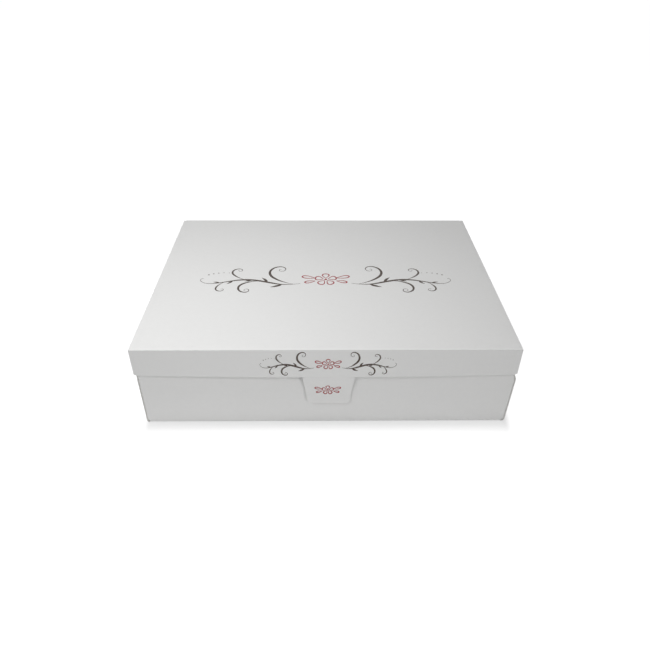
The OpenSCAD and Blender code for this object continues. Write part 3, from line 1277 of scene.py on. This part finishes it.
def tape_dot(name, node, finish, body, place, filaments):
    """One half of the closure, with filaments(x, y, chance) standing on it in rows."""
    chance = random.Random(name)
    base, pitch, shift = 0.42, 1.15, 0.08  # the tape, its rows, and how far a filament strays
    edge, root, thread = 0.8, 0.1, 0.13  # the bare edge, and a filament's root and thickness
    shell = Shell()
    tape_base(shell, base, place)
    rows = int(DOT_R / pitch)
    for row in range(-rows, rows + 1):
        for column in range(-rows, rows + 1):
            x = (column + 0.5 * (row % 2)) * pitch + chance.uniform(-shift, shift)
            y = row * pitch + chance.uniform(-shift, shift)
            if math.hypot(x, y) < DOT_R - edge:
                for path in filaments(x, y, chance):
                    raised = [(a, b, base - root + h) for a, b, h in path]
                    bristle(shell, raised, thread, place)
    dot = add_piece(name, shell, (finish,), node.removesuffix("_dot") + "_tape", [node])
    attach(dot, body)


def hook(x, y, chance):
    """A filament that goes up and curls over, its tip pointing along the row."""
    way = chance.choice((-1, 1))
    rise, curl = 0.42, 0.2
    arc = [math.radians(a) for a in range(0, 211, 35)]
    path = [(x, y, 0.0), (x, y, rise * 0.6)]
    path += [(x + way * curl * (1 - math.cos(a)), y, rise + curl * math.sin(a)) for a in arc]
    return [path]


def loops(x, y, chance):
    """Two small loops that lean at random."""
    paths = []
    for _ in range(2):
        turn, lean = chance.uniform(0, math.pi), chance.uniform(-0.2, 0.2)
        radius = chance.uniform(0.25, 0.36)
        cos, sin = math.cos(turn), math.sin(turn)
        path = []
        for degrees in range(0, 181, 30):
            a = math.radians(degrees)
            across, up = radius * math.cos(a), 1.4 * radius * math.sin(a)
            path.append((x + across * cos - lean * up * sin, y + across * sin + lean * up * cos, up))
        paths.append(path)
    return paths


def build_dots():
    """The hook dot inside the tab and the loop dot on the front wall."""
    tape_dot(
        "hook_dot_tape", "hook_dot", "nylon_hook_tape", "tab",
        lambda x, y, up: tab_place(x, DOT_DOWN - y, BOARD + up), hook,
    )
    tape_dot(
        "loop_dot_tape", "loop_dot", "nylon_loop_tape", "tray",
        lambda x, y, up: (TAB_AXIS.x + x, FRONT_Y - up, DOT_Z + y), loops,
    )


# ---------------------------------------------------------------- ornament

FOIL = 0.04  # how far the foil stands up, in millimetres
FOIL_STEP = 0.004  # how much higher each next stroke lies
FOIL_STEPS = 8  # after which the heights start again
FOIL_ROOT = 0.02  # how far the foil goes into the board
HAIRLINE = 0.02  # the narrowest that a stroke gets
SCROLL_WIDTH = 446.0  # the width that the strokes below are drawn at
STROKE_STEP = 0.8  # the length of each straight piece of a stroke, at that width


def flow(start, heading, runs):
    """Points and headings along a line whose curvature goes evenly over each run."""
    (x, y), a = start, math.radians(heading)
    path = [(x, y, a)]
    for run_length, first, last in runs:
        count = max(2, round(run_length / STROKE_STEP))
        ds = run_length / count
        for n in range(count):
            turn = (first + (last - first) * (n + 0.5) / count) * ds
            x += math.cos(a + turn / 2) * ds
            y += math.sin(a + turn / 2) * ds
            a += turn
            path.append((x, y, a))
    return path


def brush(path, width_at):
    """The two edges of a stroke along path, width_at(t) wide from t = 0 to 1."""
    edges = []
    for n, (x, y, a) in enumerate(path):
        half = width_at(n / (len(path) - 1)) / 2
        side = (-math.sin(a) * half, math.cos(a) * half)
        edges.append(((x + side[0], y + side[1]), (x - side[0], y - side[1])))
    return edges


def pen(thin, thick, peak):
    """The width of a pen stroke, thickest at peak."""
    def width_at(t):
        share = t / peak if t < peak else (1 - t) / (1 - peak)
        return thin + (thick - thin) * math.sin(share * math.pi / 2) ** 2
    return width_at


def scroll_strokes(weight):
    """The right half of a scroll: a long stem, four curling branches and five leaves."""
    stem = flow((47, -14), -14, [
        (44, 0.006, 0.018), (62, 0.006, -0.017), (50, -0.014, 0.006), (34, 0.012, 0.06),
        (13, 0.09, 0.26),
    ])
    strokes = [brush(stem, pen(0.7 * weight, 4.4 * weight, 0.36))]

    def fork(s, turn):
        x, y, a = stem[round(s / STROKE_STEP)]
        return (x, y), math.degrees(a) + turn

    branches = (
        (12, 26, 4.4, 0.38, [(48, 0.008, 0.016), (46, 0.034, 0.05), (34, 0.07, 0.15),
                             (12, 0.2, 0.4)]),
        (74, -14, 3.7, 0.40, [(34, -0.014, -0.026), (38, -0.045, -0.075), (26, -0.11, -0.26),
                              (6, -0.3, -0.4)]),
        (104, 24, 3.2, 0.42, [(32, 0.012, 0.024), (30, 0.06, 0.1), (20, 0.15, 0.36)]),
        (142, -20, 2.6, 0.42, [(24, -0.018, -0.04), (22, -0.08, -0.15), (11, -0.2, -0.5)]),
    )
    for s, turn, thick, peak, runs in branches:
        line = pen(0.6 * weight, thick * weight, peak)
        strokes.append(brush(flow(*fork(s, turn), runs), line))
    leaves = ((34, -44, 24, 5.0, 0.5), (62, 52, 20, 4.6, -0.6), (92, -38, 15, 4.0, 0.5),
              (128, -46, 15, 3.6, 0.5), (152, 40, 13, 3.2, -0.4))
    for s, turn, leaf_length, fat, bend in leaves:
        path = flow(*fork(s, turn), [(leaf_length, bend / leaf_length, bend / leaf_length)])
        fat *= weight ** 0.5
        strokes.append(brush(path, lambda t, fat=fat: 0.15 + fat * math.sin(math.pi * t ** 0.75)))
    return strokes


def teardrop(angle, first, last, fat, weight):
    """A stroke round a petal or leaf that points away from the middle at that angle."""
    count = 44
    turn = math.radians(angle)
    cos, sin = math.cos(turn), math.sin(turn)
    spots = []
    for n in range(count + 1):
        t = math.tau * n / count
        out = first + (last - first) * (1 - math.cos(t)) / 2
        side = fat / 2.6 * math.sin(t) * (1 - math.cos(t)) ** 0.6
        spots.append((out * cos - side * sin, out * sin + side * cos))
    path = []
    for n, (x, y) in enumerate(spots):
        before, after = spots[max(0, n - 1)], spots[min(count, n + 1)]
        path.append((x, y, math.atan2(after[1] - before[1], after[0] - before[0])))
    return brush(path, lambda t: weight * (1.1 + 1.3 * math.sin(math.pi * t) ** 2))


def mirrored(strokes):
    """The strokes and their mirror images across the middle."""
    return strokes + [[((-a, b), (-c, d)) for (a, b), (c, d) in stroke] for stroke in strokes]


def spot(x, y, radius):
    """A round spot, as two edges from its bottom to its top."""
    count = 12
    turns = [math.pi * n / count for n in range(count + 1)]
    return [
        ((x - radius * math.sin(t), y - radius * math.cos(t)),
         (x + radius * math.sin(t), y - radius * math.cos(t)))
        for t in turns
    ]


def blossom_strokes(weight):
    """A five-petalled blossom in outline, with two leaves on each side."""
    petals = [teardrop(90 + 72 * n, 4.6, 20.0, 14.5, weight) for n in range(5)]
    leaves = [teardrop(14, 20.0, 45.0, 10.0, weight), teardrop(-15, 20.0, 40.0, 8.0, weight)]
    return petals + mirrored(leaves) + [spot(0, 0, 2.4 * weight ** 0.5)]


def lay_foil(name, strokes, place, scale, finish, body):
    """Lays flat strokes on a board. Each lies a hair higher than the last, where they cross."""
    shell = Shell()
    for number, stroke in enumerate(strokes):
        top = FOIL + FOIL_STEP * (number % FOIL_STEPS)
        rings = []
        for first, second in stroke:
            spots = (first, second)
            if math.dist(first, second) * scale < HAIRLINE:
                x, y = [(a + b) / 2 for a, b in zip(first, second)]
                spots = [(x - HAIRLINE, y), (x + HAIRLINE, y)]
            (ax, ay), (bx, by) = spots
            corners = ((ax, ay, top), (bx, by, top), (bx, by, -FOIL_ROOT), (ax, ay, -FOIL_ROOT))
            rings.append([
                shell.point(place(x * scale, y * scale, up), (x, y)) for x, y, up in corners
            ])
        shell.loft(rings)
    piece = add_piece(name, shell, (finish,), "satin_board")
    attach(piece, body)


def lay_scroll(panel, place, width, weight):
    """A scroll with a blossom in the middle and a trail of dots at each end."""
    scale = width / SCROLL_WIDTH
    trail = [
        (219 - 8.2 * n - 0.3 * n * n, 16 + 5.2 * math.sin(0.55 * n + 0.2) + 1.2 * n, 1.9 - 0.22 * n)
        for n in range(5)
    ]
    for part, strokes, finish in (
        ("scroll", mirrored(scroll_strokes(weight)), "pewter_stamped_foil"),
        ("blossom", blossom_strokes(weight), "red_stamped_foil"),
        ("dots", mirrored([spot(*dot) for dot in trail]), "grey_offset_ink"),
    ):
        lay_foil(f"{panel}_{part}", strokes, place, scale, finish, "lid")


def build_lid_ornament():
    """The scroll across the lid."""
    middle_x, middle_y = 1.5, 212.0 + LID_LOW.y  # the middle of its blossom
    width = size_mm("print", "lid_width")
    lay_scroll(
        "lid", lambda x, y, up: lid_place(middle_x + x, middle_y + y, -up), width, weight=1.1
    )


def build_skirt_ornament():
    """The smaller scroll across the front skirt, in a bolder line."""
    middle_x, middle_z = 3.0, LID_HIGH.z - 27.0  # the middle of its blossom
    width = size_mm("print", "skirt_width")
    lay_scroll(
        "skirt", lambda x, y, up: skirt_place(middle_z + y, middle_x + x, -up), width, weight=1.5
    )


def build_tab_ornament():
    """The blossom on the tab, below its crease."""
    middle_x, down = -1.3, 31.0
    drawn = 90.0  # the width from leaf tip to leaf tip
    scale = size_mm("print", "tab_width") / drawn
    lay_foil(
        "tab_blossom", blossom_strokes(weight=1.7),
        lambda x, y, up: tab_place(middle_x + x, down - y, -up), scale, "red_stamped_foil", "tab",
    )


# ------------------------------------------------------------------- stage

IMAGE_PX = 650
FOCAL_PX = 575.0
SENSOR_MM = 36.0
CAMERA_PLACE = (-12.7, -935.0, 709.8)  # in millimetres
CAMERA_TURN = (54.48, -0.315, -0.605)  # in degrees, about X, Y and Z
FLOOR_REACH = 6000.0  # in millimetres, from its middle to each edge
LAMPS = (  # each one's place, the point that it is turned to, and its size, in metres
    ("key", (-0.42, -0.2, 1.2), (0.04, -0.1, 0.15), 0.3),
    ("front", (-0.45, -0.93, 1.12), (0.0, -0.2, 0.08), 0.22),
    ("side", (1.5, -2.0, 0.8), (0.0, -0.2, 0.08), 0.25),
)


def white_surroundings(level):
    """A world that shows white and lights the box at that level."""
    world = bpy.data.worlds.new("white_surroundings")
    world.use_nodes = True
    tree = world.node_tree
    tree.nodes.clear()
    light = add_node(tree, "ShaderNodeBackground", {"Color": (1, 1, 1, 1), "Strength": level})
    shown = add_node(tree, "ShaderNodeBackground", {"Color": (1, 1, 1, 1), "Strength": 1.0})
    mix = add_node(
        tree, "ShaderNodeMixShader", {0: seen_directly(tree), 1: light, 2: shown}
    )
    add_node(tree, "ShaderNodeOutputWorld", {"Surface": mix})
    bpy.context.scene.world = world


def soft_lamp(name, place, aim, size, power):
    """A square lamp, size and places in metres and power in watts."""
    data = bpy.data.lights.new(name, "AREA")
    data.shape = "SQUARE"
    data.size = size
    data.energy = power
    lamp = bpy.data.objects.new(name, data)
    lamp.location = place
    lamp.rotation_mode = "QUATERNION"
    lamp.rotation_quaternion = (Vector(aim) - Vector(place)).to_track_quat("-Z", "Y")
    bpy.context.scene.collection.objects.link(lamp)


def build_stage():
    """The floor, the lamps, the surroundings and the camera."""
    studio = box_settings()["studio"]
    shell = Shell()
    corners = ((-1, -1), (1, -1), (1, 1), (-1, 1))
    shell.face([shell.point((x * FLOOR_REACH, y * FLOOR_REACH, 0.0)) for x, y in corners])
    mesh = bpy.data.meshes.new("studio_floor")
    mesh.from_pydata(shell.points, [], shell.faces)
    mesh.materials.append(material("white_studio_floor"))
    floor = bpy.data.objects.new("studio_floor", mesh)
    # this also moves the floor's painted shadow to the right of the box's middle
    floor.location = (SHADE_SHIFT * MM, MID_Y * MM, 0.0)
    bpy.context.scene.collection.objects.link(floor)

    for name, place, aim, size in LAMPS:
        soft_lamp(f"{name}_lamp", place, aim, size, getattr(studio, name))
    white_surroundings(studio.sky)

    data = bpy.data.cameras.new("camera")
    data.sensor_width = SENSOR_MM
    data.lens = FOCAL_PX / IMAGE_PX * SENSOR_MM
    camera = bpy.data.objects.new("camera", data)
    camera.location = Vector(CAMERA_PLACE) * MM
    camera.rotation_euler = [math.radians(turn) for turn in CAMERA_TURN]
    bpy.context.scene.collection.objects.link(camera)
    bpy.context.scene.camera = camera
    bpy.context.scene.view_settings.view_transform = "Standard"


# --------------------------------------------------------------- operators


class CARDBOX_OT_base(bpy.types.Operator):
    """Add the base panel with its four slots"""

    bl_idname = "card_box.base"
    bl_label = "Base Panel"

    def execute(self, context):
        build_base()
        return {"FINISHED"}


class CARDBOX_OT_end_walls(bpy.types.Operator):
    """Add the front and back walls"""

    bl_idname = "card_box.end_walls"
    bl_label = "End Walls"

    def execute(self, context):
        build_end_walls()
        return {"FINISHED"}


class CARDBOX_OT_rolled_sides(bpy.types.Operator):
    """Add the two rolled sides with their tongues"""

    bl_idname = "card_box.rolled_sides"
    bl_label = "Rolled Sides"

    def execute(self, context):
        build_rolled_sides()
        return {"FINISHED"}


class CARDBOX_OT_corner_flaps(bpy.types.Operator):
    """Add the four corner flaps inside the rolled sides"""

    bl_idname = "card_box.corner_flaps"
    bl_label = "Corner Flaps"

    def execute(self, context):
        build_corner_flaps()
        return {"FINISHED"}


class CARDBOX_OT_lid_panel(bpy.types.Operator):
    """Add the lid panel"""

    bl_idname = "card_box.lid_panel"
    bl_label = "Lid Panel"

    def execute(self, context):
        build_lid_panel()
        return {"FINISHED"}


class CARDBOX_OT_skirts(bpy.types.Operator):
    """Add the lid's front skirt and side skirts"""

    bl_idname = "card_box.skirts"
    bl_label = "Skirts"

    def execute(self, context):
        build_skirts()
        return {"FINISHED"}


class CARDBOX_OT_glue_flaps(bpy.types.Operator):
    """Add the glue flaps behind the front skirt"""

    bl_idname = "card_box.glue_flaps"
    bl_label = "Glue Flaps"

    def execute(self, context):
        build_glue_flaps()
        return {"FINISHED"}


class CARDBOX_OT_creases(bpy.types.Operator):
    """Add the creases that the lid and the tab turn on"""

    bl_idname = "card_box.creases"
    bl_label = "Creases"

    def execute(self, context):
        build_rear_crease()
        build_tab_crease()
        return {"FINISHED"}


class CARDBOX_OT_tab(bpy.types.Operator):
    """Add the closure tab"""

    bl_idname = "card_box.tab"
    bl_label = "Closure Tab"

    def execute(self, context):
        build_tab()
        return {"FINISHED"}


class CARDBOX_OT_dots(bpy.types.Operator):
    """Add the hook dot and the loop dot"""

    bl_idname = "card_box.dots"
    bl_label = "Hook and Loop Dots"

    def execute(self, context):
        build_dots()
        return {"FINISHED"}


class CARDBOX_OT_ornament(bpy.types.Operator):
    """Add the stamped and printed ornament on the lid, the front skirt and the tab"""

    bl_idname = "card_box.ornament"
    bl_label = "Ornament"

    def execute(self, context):
        build_lid_ornament()
        build_skirt_ornament()
        build_tab_ornament()
        return {"FINISHED"}


class CARDBOX_OT_stage(bpy.types.Operator):
    """Add the floor, the lamps, the surroundings and the camera"""

    bl_idname = "card_box.stage"
    bl_label = "Stage"

    def execute(self, context):
        build_stage()
        return {"FINISHED"}


PIECES = (
    CARDBOX_OT_base, CARDBOX_OT_end_walls, CARDBOX_OT_rolled_sides, CARDBOX_OT_corner_flaps,
    CARDBOX_OT_lid_panel, CARDBOX_OT_skirts, CARDBOX_OT_glue_flaps, CARDBOX_OT_creases,
    CARDBOX_OT_tab, CARDBOX_OT_dots, CARDBOX_OT_ornament, CARDBOX_OT_stage,
)


class CARDBOX_PT_panel(bpy.types.Panel):
    """The card box's settings and the pieces that can be added"""

    bl_label = "Card Box"
    bl_idname = "CARDBOX_PT_panel"
    bl_space_type = "VIEW_3D"
    bl_region_type = "UI"
    bl_category = "Card Box"

    def draw(self, context):
        for name, group in SETTINGS.items():
            box = self.layout.box()
            for setting in group.__annotations__:
                box.prop(getattr(context.scene, name), setting)
        for piece in PIECES:
            self.layout.operator(piece.bl_idname)


def register():
    for kind in (*SETTINGS.values(), *PIECES, CARDBOX_PT_panel):
        bpy.utils.register_class(kind)
    for name, group in SETTINGS.items():
        setattr(bpy.types.Scene, name, PointerProperty(type=group))


def unregister():
    for name in SETTINGS:
        delattr(bpy.types.Scene, name)
    for kind in (CARDBOX_PT_panel, *reversed(PIECES), *reversed(SETTINGS.values())):
        bpy.utils.unregister_class(kind)


def main():
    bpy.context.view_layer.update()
    register()
    for piece in PIECES:
        add = getattr(bpy.ops.card_box, piece.bl_idname.removeprefix("card_box."))
        add()


if __name__ == "__main__":
    main()
